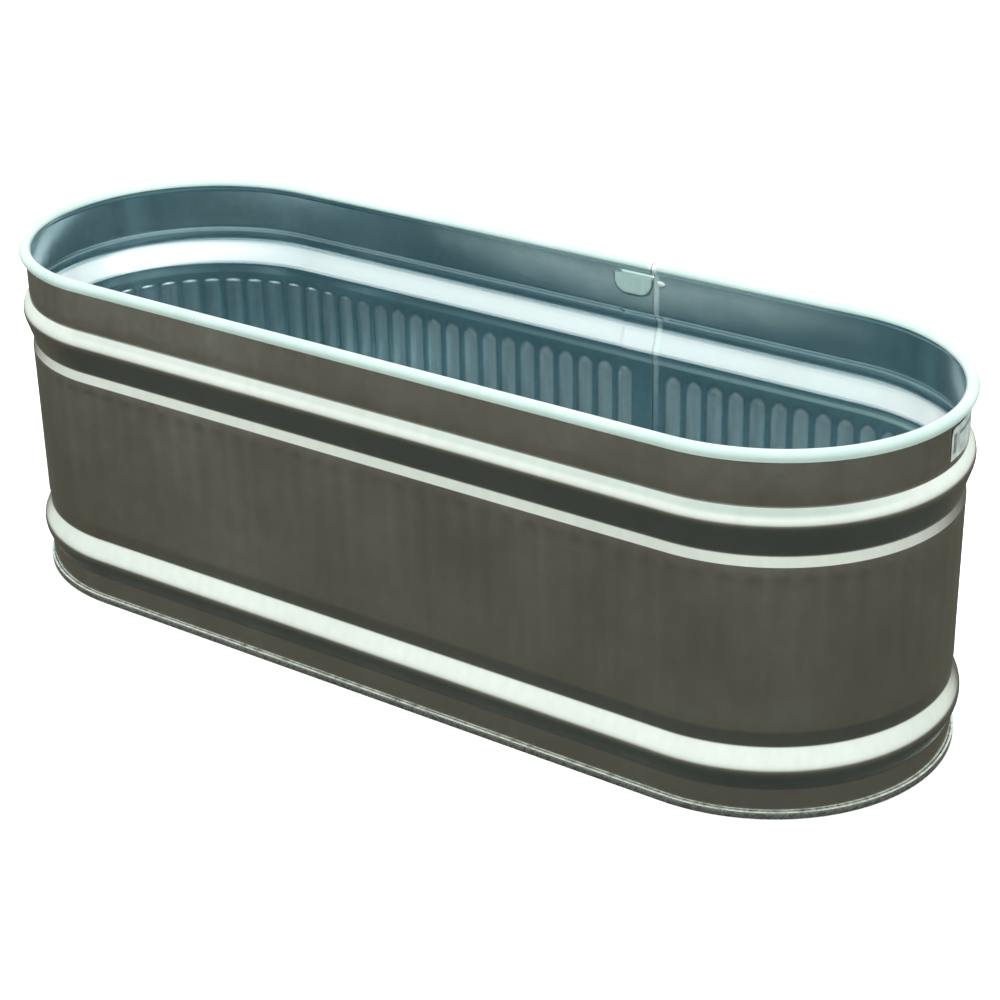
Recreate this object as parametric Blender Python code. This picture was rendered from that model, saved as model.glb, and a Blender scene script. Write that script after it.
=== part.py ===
"""Round-end galvanised steel stock tank, used as a feeding or watering trough.

One strip of beaded sheet goes round the tank and laps itself on the back wall.
Its top edge is curled round a steel tube and its bottom edge is folded into a
double seam with the recessed bottom. A screwed drain sits in the left end.

Frame: origin at the middle of the tank's length and width, on the ground.
+X runs along the tank, away from the drain, +Y is the lapped wall, +Z is up.
"""
import math

import bmesh
import bpy
from mathutils import Matrix, Vector

# ---- driving dimensions, in metres ----
HALF_STRAIGHT = 0.5851          # half the length of the straight sides
SHEET = 0.0010                  # thickness of the galvanised sheet
FIT_GAP = 0.0003                # left between pieces that touch
SEAM_PITCH = 0.0015             # sheet plus gap, layer to layer, in the bottom seam

# Radii of the round ends, measured to the middle of the sheet.
FOOT_R = 0.3031                 # bottom band, inside the double seam
LOWER_BEAD_R = 0.3162           # corner of the lower bead, before rounding
LOWER_NECK_R = 0.2980           # groove above the lower bead
MAIN_BASE_R = 0.3008            # main band, which flares a little upwards
MAIN_TOP_R = 0.3019
UPPER_NECK_R = 0.2977           # groove above the main band
UPPER_BEAD_R = 0.3156           # corner of the upper bead, before rounding
CREASE_R = 0.2993               # sharp crease above the upper bead
UPPER_BAND_R = 0.2995

# Heights of the same features.
FOLD_Z = 0.0020                 # fold at the wall's bottom edge
HOOK_TOP_Z = 0.0110
LAP_STEP_Z = 0.0155             # the lap's inner layer stands in above this
LAP_FOOT_Z = 0.0185             # and is trimmed off below this
BAND_TOP_Z = 0.0520
LOWER_BEAD_Z = 0.0855
LOWER_NECK_Z = 0.1210
MAIN_BASE_Z = 0.1480
MAIN_TOP_Z = 0.4240
UPPER_NECK_Z = 0.4420
UPPER_BEAD_Z = 0.4990
CREASE_Z = 0.5170
WALL_TOP_Z = 0.5835             # where the sheet turns in under the rim

# Bend radii of the rounded corners.
LOWER_BEAD_BEND = 0.030
LOWER_NECK_BEND = 0.012
UPPER_NECK_BEND = 0.012
UPPER_BEAD_BEND = 0.026

# Rim: the sheet is curled round a tube that sits in line with the wall.
RIM_R = 0.3001                  # end radius of the tube's centre line
RIM_Z = 0.5996
RIM_OUTER = 0.0104              # radius over the curled sheet
RIM_TUBE = 0.0090               # outer radius of the tube
RIM_TUBE_WALL = 0.0015
RIM_SEGMENTS = 12
CURL_START = math.radians(240)  # the curl runs from here over the top
CURL_STEPS = 11

# Lap on the back wall.
SEAM_X = 0.1870                 # edge of the strip's inner end
LAP_WIDTH = 0.0600
LAP_SHIFT = 0.0016              # how far the inner layer stands in
JOGGLE = 0.0085                 # length over which it steps in
RIM_JOINT_GAP = 0.0006          # each side of the rim's butt joint

# Bottom.
PAN_TOP_Z = 0.0120              # middle of the floor sheet and of the seam's top fold
PAN_FOOT_Z = 0.0005             # middle of the sheet under the seam
HOOK_FOOT_Z = 0.0040            # lower end of the pan's own hook
FLOOR_EDGE = 0.0100             # width of the floor's outermost ring of facets
FLOOR_BEND = 0.0030             # leg of the bend where the floor turns down
SEALANT_LEG = 0.0025

# Small pieces on the lap, inside the tank.
TAB_LEFT_X = 0.1100
TAB_WIDTH = 0.0740
TAB_TOP_Z = 0.5810
TAB_HEIGHT = 0.0340
TAB_CORNER = 0.0240
TAB_THICKNESS = 0.0012
WELD_X = 0.2030
WELD_Z = 0.5755
WELD_HALF_WIDTH = 0.0090
WELD_HALF_HEIGHT = 0.0060
WELD_DEPTH = 0.0030

# Label on the right end.
LABEL_BOTTOM_Z = 0.5280
LABEL_TOP_Z = 0.5800
LABEL_THICKNESS = 0.0003

# Drain, on the flat facet at the left end. Depths are measured along its axis.
DRAIN_Z = 0.0315
DRAIN_HOLE = 0.0135
SPUD_BARREL = 0.0130
SPUD_BORE = 0.0101
SPUD_FLANGE = 0.0152
SPUD_FLANGE_DEPTH = 0.0030
GASKET_R = 0.0155
GASKET_DEPTH = 0.0015
WASHER_DEPTH = 0.0012
NUT_ACROSS_FLATS = 0.0300
NUT_DEPTH = 0.0040
SPUD_STAND_OUT = 0.0062
PLUG_SHANK = 0.0098
PLUG_SHANK_LENGTH = 0.0120
PLUG_GASKET_R = 0.0128
PLUG_GASKET_DEPTH = 0.0010
PLUG_ACROSS_FLATS = 0.0220
PLUG_SOCKET_R = 0.0060
PLUG_SOCKET_DEPTH = 0.0022
ROUND_SIDES = 24

# Facets of the round ends. The drain end has an odd count, so that one facet
# faces straight out, and the other end has a vertex there.
DRAIN_END_FACETS = 17
LABEL_END_FACETS = 16
ARC_PIECE = math.radians(30)    # a rounded corner gets two facets per piece

# Colour, metallic and roughness of each piece.
FINISHES = {
    "side_wall": ((0.36, 0.36, 0.33), 0.9, 0.42),
    "rim_tube": ((0.45, 0.46, 0.47), 0.9, 0.50),
    "lap_tab": ((0.50, 0.55, 0.54), 0.9, 0.40),
    "rim_weld": ((0.75, 0.77, 0.76), 0.9, 0.35),
    "bottom_pan": ((0.30, 0.33, 0.33), 0.9, 0.50),
    "bottom_sealant": ((0.55, 0.56, 0.55), 0.0, 0.60),
    "label": ((0.78, 0.79, 0.77), 0.0, 0.70),
    "drain_spud": ((0.55, 0.56, 0.55), 0.9, 0.40),
    "spud_inner_gasket": ((0.03, 0.03, 0.03), 0.0, 0.80),
    "spud_outer_washer": ((0.04, 0.04, 0.04), 0.0, 0.80),
    "spud_lock_nut": ((0.50, 0.51, 0.50), 0.9, 0.45),
    "plug_gasket": ((0.05, 0.05, 0.05), 0.0, 0.75),
    "drain_plug": ((0.58, 0.59, 0.58), 0.9, 0.38),
}


# ---- materials and objects ----
def material(name):
    colour, metallic, roughness = FINISHES[name]
    made = bpy.data.materials.new(name)
    made.use_nodes = True
    shader = made.node_tree.nodes["Principled BSDF"]
    shader.inputs["Base Color"].default_value = (*colour, 1.0)
    shader.inputs["Metallic"].default_value = metallic
    shader.inputs["Roughness"].default_value = roughness
    return made


def add_object(name, mesh_data, origin=(0, 0, 0)):
    """Makes a named object from a bmesh given in world metres, about its origin."""
    bmesh.ops.recalc_face_normals(mesh_data, faces=mesh_data.faces)
    bmesh.ops.translate(mesh_data, verts=mesh_data.verts, vec=-Vector(origin))
    mesh = bpy.data.meshes.new(name)
    mesh_data.to_mesh(mesh)
    mesh_data.free()
    mesh.shade_smooth()
    mesh.set_sharp_from_angle(angle=math.radians(32))
    if name in FINISHES:
        mesh.materials.append(material(name))
    made = bpy.data.objects.new(name, mesh)
    made.location = origin
    bpy.context.scene.collection.objects.link(made)
    return made


# ---- outlines of the sheet, as (radius, height) ----
def rounded(corners):
    """Turns corners (radius, height, fillet) into points along rounded bends."""
    points = []
    for index, (radius, height, fillet) in enumerate(corners):
        here = Vector((radius, height))
        if fillet == 0:
            points.append(here)
            continue
        back = (Vector(corners[index - 1][:2]) - here).normalized()
        ahead = (Vector(corners[index + 1][:2]) - here).normalized()
        half_angle = back.angle(ahead) / 2
        bisector = (back + ahead).normalized()
        centre = here + bisector * (fillet / math.sin(half_angle))
        first = here + back * (fillet / math.tan(half_angle)) - centre
        turn = math.pi - 2 * half_angle
        steps = 2 * math.ceil(turn / ARC_PIECE)
        sense = 1 if first.cross(ahead) > 0 else -1
        for step in range(steps + 1):
            spin = Matrix.Rotation(sense * turn * step / steps, 2)
            points.append(centre + spin @ first)
    return points


def wall_outline():
    """Middle line of the wall sheet, from its bottom hook to the end of the rim curl."""
    hook_r = FOOT_R + 2 * SEAM_PITCH
    points = rounded([
        (hook_r, HOOK_TOP_Z, 0),
        (hook_r, FOLD_Z, 0),
        (FOOT_R, FOLD_Z, 0),
        (FOOT_R, LAP_STEP_Z, 0),
        (FOOT_R, LAP_FOOT_Z, 0),
        (FOOT_R, BAND_TOP_Z, 0),
        (LOWER_BEAD_R, LOWER_BEAD_Z, LOWER_BEAD_BEND),
        (LOWER_NECK_R, LOWER_NECK_Z, LOWER_NECK_BEND),
        (MAIN_BASE_R, MAIN_BASE_Z, 0),
        (MAIN_TOP_R, MAIN_TOP_Z, 0),
        (UPPER_NECK_R, UPPER_NECK_Z, UPPER_NECK_BEND),
        (UPPER_BEAD_R, UPPER_BEAD_Z, UPPER_BEAD_BEND),
        (CREASE_R, CREASE_Z, 0),
        (UPPER_BAND_R, WALL_TOP_Z, 0),
    ])
    curl_radius = RIM_OUTER - SHEET / 2
    for step in range(CURL_STEPS + 1):
        angle = CURL_START - 2 * math.pi * step / RIM_SEGMENTS
        offset = Vector((math.cos(angle), math.sin(angle))) * curl_radius
        points.append(Vector((RIM_R, RIM_Z)) + offset)
    return points


def index_at(outline, height):
    """Index of the outline's corner at a height."""
    return min(range(len(outline)), key=lambda index: abs(outline[index].y - height))


def pan_outline():
    """Middle line of the bottom sheet, from the floor's edge round the double seam."""
    chuck_r = FOOT_R - SEAM_PITCH
    outer_r = FOOT_R + 3 * SEAM_PITCH
    hook_r = FOOT_R + SEAM_PITCH
    return [
        Vector((chuck_r - FLOOR_EDGE, PAN_TOP_Z)),
        Vector((chuck_r - FLOOR_BEND, PAN_TOP_Z)),
        Vector((chuck_r, PAN_TOP_Z - FLOOR_BEND)),
        Vector((chuck_r, PAN_FOOT_Z)),
        Vector((outer_r, PAN_FOOT_Z)),
        Vector((outer_r, PAN_TOP_Z)),
        Vector((hook_r, PAN_TOP_Z)),
        Vector((hook_r, HOOK_FOOT_Z)),
    ]


def sheet_sides(middle, thickness):
    """The inner and outer face of a bent sheet: its middle line moved each way."""
    inner = []
    outer = []
    for index, here in enumerate(middle):
        before = middle[max(index - 1, 0)]
        after = middle[min(index + 1, len(middle) - 1)]
        into = (here - before).normalized() if index > 0 else (after - here).normalized()
        out = (after - here).normalized() if index < len(middle) - 1 else into
        normal = Vector((-(into.y + out.y), into.x + out.x)).normalized()
        reach = thickness / 2 / normal.dot(Vector((-into.y, into.x)))
        inner.append(here + normal * reach)
        outer.append(here - normal * reach)
    return inner, outer


def crest_radius():
    """Radius over the lower bead, the widest place on the wall."""
    outer = sheet_sides(wall_outline(), SHEET)[1]
    return max(point.x for point in outer)


# ---- stations round the tank: (centre x, outward direction, inward shift) ----
def arc_stations(centre_x, start, end, facets):
    stations = []
    for step in range(facets + 1):
        angle = math.radians(start + (end - start) * step / facets)
        stations.append((centre_x, Vector((math.cos(angle), math.sin(angle))), 0.0))
    return stations


def both_ends():
    """Stations clockwise round both ends, from the back wall to the back wall."""
    right = arc_stations(HALF_STRAIGHT, 90, -90, LABEL_END_FACETS)
    left = arc_stations(-HALF_STRAIGHT, 270, 90, DRAIN_END_FACETS)
    return right + left


def back_station(x, shift=0.0):
    return (x, Vector((0.0, 1.0)), shift)


def place(station, point, shifted=True):
    centre_x, outward, shift = station
    radius = point.x - (shift if shifted else 0.0)
    return Vector((centre_x + outward.x * radius, outward.y * radius, point.y))


# ---- the wall strip ----
def build_side_wall():
    middle = wall_outline()
    inner, outer = sheet_sides(middle, SHEET)
    foot_top = index_at(middle, LAP_FOOT_Z)
    wall_top = index_at(middle, WALL_TOP_Z)
    end = len(middle) - 1

    lap_left = SEAM_X - LAP_WIDTH
    joggle_end = lap_left - RIM_JOINT_GAP
    stations = [
        back_station(lap_left),
        back_station(SEAM_X + RIM_JOINT_GAP),
        *both_ends(),
        back_station(joggle_end - JOGGLE),
        back_station(joggle_end, LAP_SHIFT),
        back_station(SEAM_X - RIM_JOINT_GAP, LAP_SHIFT),
    ]
    # The strip's outer end has no rim and its inner end has no foot, because
    # only one layer can go through the curl and through the bottom seam.
    spans = [(0, wall_top)] + [(0, end)] * (len(stations) - 3) + [(foot_top, end)]

    mesh = bmesh.new()
    rings = []
    for number, station in enumerate(stations):
        before = spans[number - 1] if number > 0 else spans[0]
        after = spans[number] if number < len(spans) else spans[-1]
        ring = {}
        for index in range(min(before[0], after[0]), max(before[1], after[1]) + 1):
            shifted = foot_top <= index <= wall_top
            ring[index] = (mesh.verts.new(place(station, inner[index], shifted)),
                           mesh.verts.new(place(station, outer[index], shifted)))
        rings.append(ring)

    for number, (low, high) in enumerate(spans):
        here = rings[number]
        there = rings[number + 1]
        for index in range(low, high):
            for side in (0, 1):
                mesh.faces.new((here[index][side], here[index + 1][side],
                                there[index + 1][side], there[index][side]))
        for index in (low, high):
            mesh.faces.new((here[index][0], here[index][1],
                            there[index][1], there[index][0]))

    nothing = (0, 0)
    for number, ring in enumerate(rings):
        before = spans[number - 1] if number > 0 else nothing
        after = spans[number] if number < len(spans) else nothing
        for index in range(end):
            covered = [low <= index < high for low, high in (before, after)]
            if covered[0] != covered[1]:
                mesh.faces.new((ring[index][0], ring[index][1],
                                ring[index + 1][1], ring[index + 1][0]))
    return add_object("side_wall", mesh)


def cut_drain_hole(wall):
    cutter_mesh = bmesh.new()
    bmesh.ops.create_cone(cutter_mesh, cap_ends=True, segments=ROUND_SIDES,
                          radius1=DRAIN_HOLE, radius2=DRAIN_HOLE, depth=0.03)
    spin = Matrix.Translation((wall_face_x(), 0, DRAIN_Z)) @ Matrix.Rotation(math.pi / 2, 4, "Y")
    bmesh.ops.transform(cutter_mesh, matrix=spin, verts=cutter_mesh.verts)
    cutter = add_object("drain_hole_cutter", cutter_mesh)
    cutter.hide_render = True
    cutter.display_type = "WIRE"
    cut = wall.modifiers.new("drain_hole", "BOOLEAN")
    cut.operation = "DIFFERENCE"
    cut.object = cutter


# ---- closed rings round the tank ----
def build_ring(name, stations, outlines, closed=True):
    """Sweeps one or more closed outlines round the tank.

    An open ring gets end caps. With two outlines the second is a bore.
    """
    mesh = bmesh.new()
    loops = [[[mesh.verts.new(place(station, point)) for point in outline]
              for station in stations] for outline in outlines]
    for loop in loops:
        pairs = list(zip(loop, loop[1:]))
        if closed:
            pairs.append((loop[-1], loop[0]))
        for here, there in pairs:
            for index in range(len(here)):
                after = (index + 1) % len(here)
                mesh.faces.new((here[index], here[after], there[after], there[index]))
    if not closed:
        for end in (0, -1):
            if len(loops) == 1:
                mesh.faces.new(loops[0][end])
            else:
                outer = loops[0][end]
                inner = loops[1][end]
                for index in range(len(outer)):
                    after = (index + 1) % len(outer)
                    mesh.faces.new((outer[index], outer[after], inner[after], inner[index]))
    return add_object(name, mesh)


def rim_circle(radius):
    points = []
    for step in range(RIM_SEGMENTS):
        angle = 2 * math.pi * step / RIM_SEGMENTS
        offset = Vector((math.cos(angle), math.sin(angle))) * radius
        points.append(Vector((RIM_R, RIM_Z)) + offset)
    return points


def build_rim_tube():
    stations = [
        back_station(SEAM_X + RIM_JOINT_GAP),
        *both_ends(),
        back_station(SEAM_X - RIM_JOINT_GAP),
    ]
    outlines = [rim_circle(RIM_TUBE), rim_circle(RIM_TUBE - RIM_TUBE_WALL)]
    build_ring("rim_tube", stations, outlines, closed=False)


def build_bottom_pan():
    """The floor with its skirt, which folds round the wall's hook into a double seam."""
    middle = pan_outline()
    upper, lower = sheet_sides(middle, SHEET)
    stations = both_ends()
    mesh = bmesh.new()
    rings = [[[mesh.verts.new(place(station, point)) for station in stations]
              for point in side] for side in (upper, lower)]
    count = len(stations)
    for side in rings:
        for here, there in zip(side, side[1:]):
            for index in range(count):
                after = (index + 1) % count
                mesh.faces.new((here[index], here[after], there[after], there[index]))
        mesh.faces.new(side[0])
    for index in range(count):
        after = (index + 1) % count
        mesh.faces.new((rings[0][-1][index], rings[0][-1][after],
                        rings[1][-1][after], rings[1][-1][index]))
    add_object("bottom_pan", mesh)


def build_bottom_sealant():
    """Sealant between the wall and the bend at the floor's edge."""
    corner_r = FOOT_R - SHEET / 2 - FIT_GAP
    outline = [
        Vector((corner_r, PAN_TOP_Z - SEALANT_LEG)),
        Vector((corner_r, PAN_TOP_Z + SEALANT_LEG)),
        Vector((corner_r - SEALANT_LEG, PAN_TOP_Z)),
    ]
    build_ring("bottom_sealant", both_ends(), [outline])


def build_label():
    """A blank paper label on the upper band, over two facets from the right end."""
    inner_r = UPPER_BAND_R + SHEET / 2 + FIT_GAP
    outline = [
        Vector((inner_r, LABEL_BOTTOM_Z)),
        Vector((inner_r + LABEL_THICKNESS, LABEL_BOTTOM_Z)),
        Vector((inner_r + LABEL_THICKNESS, LABEL_TOP_Z)),
        Vector((inner_r, LABEL_TOP_Z)),
    ]
    facet = 180 / LABEL_END_FACETS
    stations = arc_stations(HALF_STRAIGHT, 0, 2 * facet, 2)
    build_ring("label", stations, [outline], closed=False)


# ---- small pieces on the lap ----
def build_plate(name, outline, front_y, thickness):
    """A flat plate standing in the XZ plane, with its back at front_y + thickness."""
    mesh = bmesh.new()
    front = mesh.faces.new([mesh.verts.new((x, front_y, z)) for x, z in outline])
    grown = bmesh.ops.extrude_face_region(mesh, geom=[front])
    moved = [item for item in grown["geom"] if isinstance(item, bmesh.types.BMVert)]
    bmesh.ops.translate(mesh, verts=moved, vec=(0, thickness, 0))
    return add_object(name, mesh)


def build_lap_tab():
    """D-shaped ear of sheet that holds the lap together just under the rim."""
    right_x = TAB_LEFT_X + TAB_WIDTH
    bottom_z = TAB_TOP_Z - TAB_HEIGHT
    outline = [(TAB_LEFT_X, TAB_TOP_Z)]
    steps = 5
    for centre_x, start in ((TAB_LEFT_X + TAB_CORNER, 180), (right_x - TAB_CORNER, 270)):
        for step in range(steps + 1):
            angle = math.radians(start + 90 * step / steps)
            outline.append((centre_x + TAB_CORNER * math.cos(angle),
                            bottom_z + TAB_CORNER + TAB_CORNER * math.sin(angle)))
    outline.append((right_x, TAB_TOP_Z))
    back_y = CREASE_R - LAP_SHIFT - SHEET / 2 - FIT_GAP
    build_plate("lap_tab", outline, back_y - TAB_THICKNESS, TAB_THICKNESS)


def build_rim_weld():
    """Lump of weld beside the strip's end, under the rim's butt joint."""
    outline = []
    for step in range(12):
        angle = math.radians(30 * step)
        outline.append((WELD_X + WELD_HALF_WIDTH * math.cos(angle),
                        WELD_Z + WELD_HALF_HEIGHT * math.sin(angle)))
    back_y = CREASE_R - SHEET / 2 - FIT_GAP
    weld = build_plate("rim_weld", outline, back_y - WELD_DEPTH, WELD_DEPTH)
    front = [v for v in weld.data.vertices if v.co.y < back_y - WELD_DEPTH / 2]
    for vertex in front:
        vertex.co.x = WELD_X + 0.6 * (vertex.co.x - WELD_X)
        vertex.co.z = WELD_Z + 0.6 * (vertex.co.z - WELD_Z)


# ---- drain ----
def wall_face_x():
    """X of the wall's outer face on the flat facet at the drain."""
    half_facet = math.radians(90 / DRAIN_END_FACETS)
    return -HALF_STRAIGHT - (FOOT_R + SHEET / 2) * math.cos(half_facet)


def polygon(radius, sides):
    return [(radius * math.cos(2 * math.pi * step / sides),
             radius * math.sin(2 * math.pi * step / sides)) for step in range(sides)]


def hexagon(across_flats):
    """Hexagon with as many points as the round outlines, so that they can be joined."""
    points = []
    for step in range(ROUND_SIDES):
        angle = 2 * math.pi * step / ROUND_SIDES
        from_flat = (angle + math.pi / 6) % (math.pi / 3) - math.pi / 6
        radius = across_flats / 2 / math.cos(from_flat)
        points.append((radius * math.cos(angle), radius * math.sin(angle)))
    return points


def build_turned(name, sections, through):
    """Lofts outlines (depth, points) along the drain's axis.

    Depth 0 is the wall's outer face and positive depths point out of the tank.
    With through set, the last section joins the first, as round a bore.
    """
    origin = Vector((wall_face_x(), 0, DRAIN_Z))
    mesh = bmesh.new()
    rings = []
    for depth, points in sections:
        rings.append([mesh.verts.new(origin + Vector((-depth, y, z))) for y, z in points])
    pairs = list(zip(rings, rings[1:]))
    if through:
        pairs.append((rings[-1], rings[0]))
    for here, there in pairs:
        for index in range(len(here)):
            after = (index + 1) % len(here)
            mesh.faces.new((here[index], here[after], there[after], there[index]))
    if not through:
        mesh.faces.new(rings[0])
        mesh.faces.new(rings[-1])
    return add_object(name, mesh, origin)


def build_drain():
    inside = -SHEET - FIT_GAP
    flange_face = inside - GASKET_DEPTH - FIT_GAP
    barrel = polygon(SPUD_BARREL, ROUND_SIDES)
    bore = polygon(SPUD_BORE, ROUND_SIDES)
    flange = polygon(SPUD_FLANGE, ROUND_SIDES)
    clear = polygon(DRAIN_HOLE, ROUND_SIDES)
    gasket = polygon(GASKET_R, ROUND_SIDES)
    nut = hexagon(NUT_ACROSS_FLATS)

    build_turned("drain_spud", [
        (flange_face - SPUD_FLANGE_DEPTH, bore),
        (flange_face - SPUD_FLANGE_DEPTH, flange),
        (flange_face, flange),
        (flange_face, barrel),
        (SPUD_STAND_OUT, barrel),
        (SPUD_STAND_OUT, bore),
    ], through=True)

    nut_start = WASHER_DEPTH + 2 * FIT_GAP
    rings = (
        ("spud_inner_gasket", inside - GASKET_DEPTH, inside, gasket),
        ("spud_outer_washer", FIT_GAP, FIT_GAP + WASHER_DEPTH, gasket),
        ("spud_lock_nut", nut_start, nut_start + NUT_DEPTH, nut),
    )
    for name, start, end, outline in rings:
        build_turned(name, [(start, clear), (start, outline),
                            (end, outline), (end, clear)], through=True)

    seat = SPUD_STAND_OUT + FIT_GAP
    head_start = seat + PLUG_GASKET_DEPTH + FIT_GAP
    head_end = drain_reach()
    plug_ring = polygon(PLUG_GASKET_R, ROUND_SIDES)
    shank = polygon(PLUG_SHANK, ROUND_SIDES)
    head = hexagon(PLUG_ACROSS_FLATS)
    socket = polygon(PLUG_SOCKET_R, ROUND_SIDES)
    build_turned("plug_gasket", [
        (seat, bore), (seat, plug_ring),
        (seat + PLUG_GASKET_DEPTH, plug_ring), (seat + PLUG_GASKET_DEPTH, bore),
    ], through=True)
    build_turned("drain_plug", [
        (head_start - PLUG_SHANK_LENGTH, shank),
        (head_start, shank),
        (head_start, head),
        (head_end, head),
        (head_end, socket),
        (head_end - PLUG_SOCKET_DEPTH, socket),
    ], through=False)


def drain_reach():
    """Depth of the plug's outer face, level with the lower bead's crest at the end."""
    return HALF_STRAIGHT + crest_radius() + wall_face_x()


def main():
    for item in list(bpy.data.objects):
        bpy.data.objects.remove(item, do_unlink=True)
    cut_drain_hole(build_side_wall())
    build_rim_tube()
    build_lap_tab()
    build_rim_weld()
    build_bottom_pan()
    build_bottom_sealant()
    build_label()
    build_drain()


main()
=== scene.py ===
"""The looks of the round-end galvanised stock tank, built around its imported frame."""
import math

import bmesh
import bpy
from mathutils import Matrix, Vector, noise


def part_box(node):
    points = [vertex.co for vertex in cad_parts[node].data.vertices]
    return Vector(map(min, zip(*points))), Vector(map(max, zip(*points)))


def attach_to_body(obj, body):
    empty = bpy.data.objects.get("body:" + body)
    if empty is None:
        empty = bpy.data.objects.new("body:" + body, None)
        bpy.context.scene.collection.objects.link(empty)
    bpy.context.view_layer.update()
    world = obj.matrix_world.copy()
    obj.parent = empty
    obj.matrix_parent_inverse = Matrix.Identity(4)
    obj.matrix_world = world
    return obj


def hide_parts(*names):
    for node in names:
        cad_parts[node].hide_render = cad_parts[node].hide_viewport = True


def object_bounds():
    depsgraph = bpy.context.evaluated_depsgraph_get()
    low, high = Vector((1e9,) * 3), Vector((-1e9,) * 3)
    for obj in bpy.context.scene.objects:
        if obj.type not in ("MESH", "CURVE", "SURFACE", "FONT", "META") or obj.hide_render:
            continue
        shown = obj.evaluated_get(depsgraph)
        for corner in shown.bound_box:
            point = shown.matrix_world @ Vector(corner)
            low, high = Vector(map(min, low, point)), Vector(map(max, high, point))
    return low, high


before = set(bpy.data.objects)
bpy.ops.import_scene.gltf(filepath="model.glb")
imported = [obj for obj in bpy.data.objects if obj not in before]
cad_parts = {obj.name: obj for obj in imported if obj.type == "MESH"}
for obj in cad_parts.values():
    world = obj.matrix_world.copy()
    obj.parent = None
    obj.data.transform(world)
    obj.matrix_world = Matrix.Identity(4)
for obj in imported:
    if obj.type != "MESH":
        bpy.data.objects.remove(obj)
cad_low, cad_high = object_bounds()

# ---- sizes in metres, as in the CAD source ----
SHEET = 0.0010
SEAM_PITCH = 0.0015
FIT_GAP = 0.0003

FOOT_R = 0.3031
LOWER_BEAD_R = 0.3162
LOWER_NECK_R = 0.2980
MAIN_BASE_R = 0.3008
MAIN_TOP_R = 0.3019
UPPER_NECK_R = 0.2977
UPPER_BEAD_R = 0.3156
CREASE_R = 0.2993
UPPER_BAND_R = 0.2995

BEND = 0.0120                   # of the necks and of the corners beside the beads
LOWER_BEAD_BEND = 0.0295
UPPER_BEAD_BEND = 0.0260

FOLD_Z = 0.0020
HOOK_TOP_Z = 0.0110
LAP_STEP_Z = 0.0155
LAP_FOOT_Z = 0.0185
BAND_TOP_Z = 0.0520
LOWER_BEAD_Z = 0.0855
LOWER_NECK_Z = 0.1210
MAIN_BASE_Z = 0.1480
MAIN_TOP_Z = 0.4240
UPPER_NECK_Z = 0.4420
UPPER_BEAD_Z = 0.4990
CREASE_Z = 0.5170
WALL_TOP_Z = 0.5835

RIM_R = 0.3001
RIM_Z = 0.5996
RIM_OUTER = 0.0104
TUBE_R = 0.0090                 # the tube inside the curl, in the CAD
CORE_R = 0.0088                 # and here
CORE_BORE = 0.83                # its bore, as a share of its radius
CURL_START = math.radians(245)
CURL_TURN = math.radians(330)
CURL_STEPS = 18
CURL_FOOT_Z = 0.5875            # the wall stands straight up to here, under the curl
RIM_START = 6                   # rows above the wall's top where the rubbed rim begins
RIM_UNDERSIDE = 2               # rows of the curl's end that face down

LAP_WIDTH = 0.0600
LAP_SHIFT = 0.0016
JOGGLE = 0.0085
JOINT_GAP = 0.0006

RING_STEP = 0.0120              # spacing of a ring's points round the ends

PAN_TOP_Z = 0.0120
FLOOR_BEND = 0.0030
FLOOR_EDGE = 0.0100             # from the floor's last plain ring to its corner
FLOOR_RINGS = 10
PAN_FOOT_Z = 0.0005
HOOK_FOOT_Z = 0.0040

# The rest of the plan comes from the frame: the tube's end gives the length of the
# straight sides, and the lap's edge lies 3 mm beside the ear.
HALF_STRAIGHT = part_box("rim_tube")[1].x - RIM_R - TUBE_R
SEAM_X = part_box("lap_tab")[1].x + 0.0030
PATH_R = 0.3000                 # radius along which the strip's length is measured
PATH_LENGTH = 4 * HALF_STRAIGHT + 2 * math.pi * PATH_R

# Flutes pressed into the main band, standing in towards the inside.
FIRST_FLUTE = 0.0415            # along the strip, from the lap's edge
LAST_FLUTE = PATH_LENGTH - 0.0570
FLUTE_GAPS = 99
FLUTE_PITCH = (LAST_FLUTE - FIRST_FLUTE) / FLUTE_GAPS
FLUTE_DEPTH = 0.0022
FLUTE_CREST = 0.18              # half width of the crest, as a share of the pitch
FLUTE_SLOPE = 0.24              # column of points on the slope
FLUTE_FOOT = 0.38               # half width at the foot
FLUTE_LOW_Z = 0.1600
FLUTE_TAPER = 0.0900            # height over which a flute dies away at its lower end
FLUTE_HIGH_Z = 0.4120
FLUTE_END = 0.0080              # height of the rounded upper end, at the drain end
FLUTE_FADE = 0.0240             # and along the straight walls
OUTER_SHARE = 0.40              # the flutes' depth on the outer face, where they are softer

LAP_BEAD = 0.0090               # width of the sheet drawn up beside the lap's edge

# Waves in the sheet, as (size, scale).
WALL_WAVES = ((0.00040, 5.0), (0.00005, 23.0))
LAP_WAVE = (0.00070, 60.0)
RIM_WAVE = (0.00030, 12.0)
FLOOR_WAVE = (0.00090, 9.0)

# Drain.
DRAIN_HOLE = 0.0135
PAD_FLAT_Z = 0.0500             # top of the flat pressed round the drain
PAD_END_Z = 0.0600


# ---- small geometry helpers ----
def smooth(low, high, value):
    share = min(max((value - low) / (high - low), 0.0), 1.0)
    return share * share * (3 - 2 * share)


def polar(angle, reach=1.0):
    return Vector((math.cos(angle), math.sin(angle))) * reach


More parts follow.
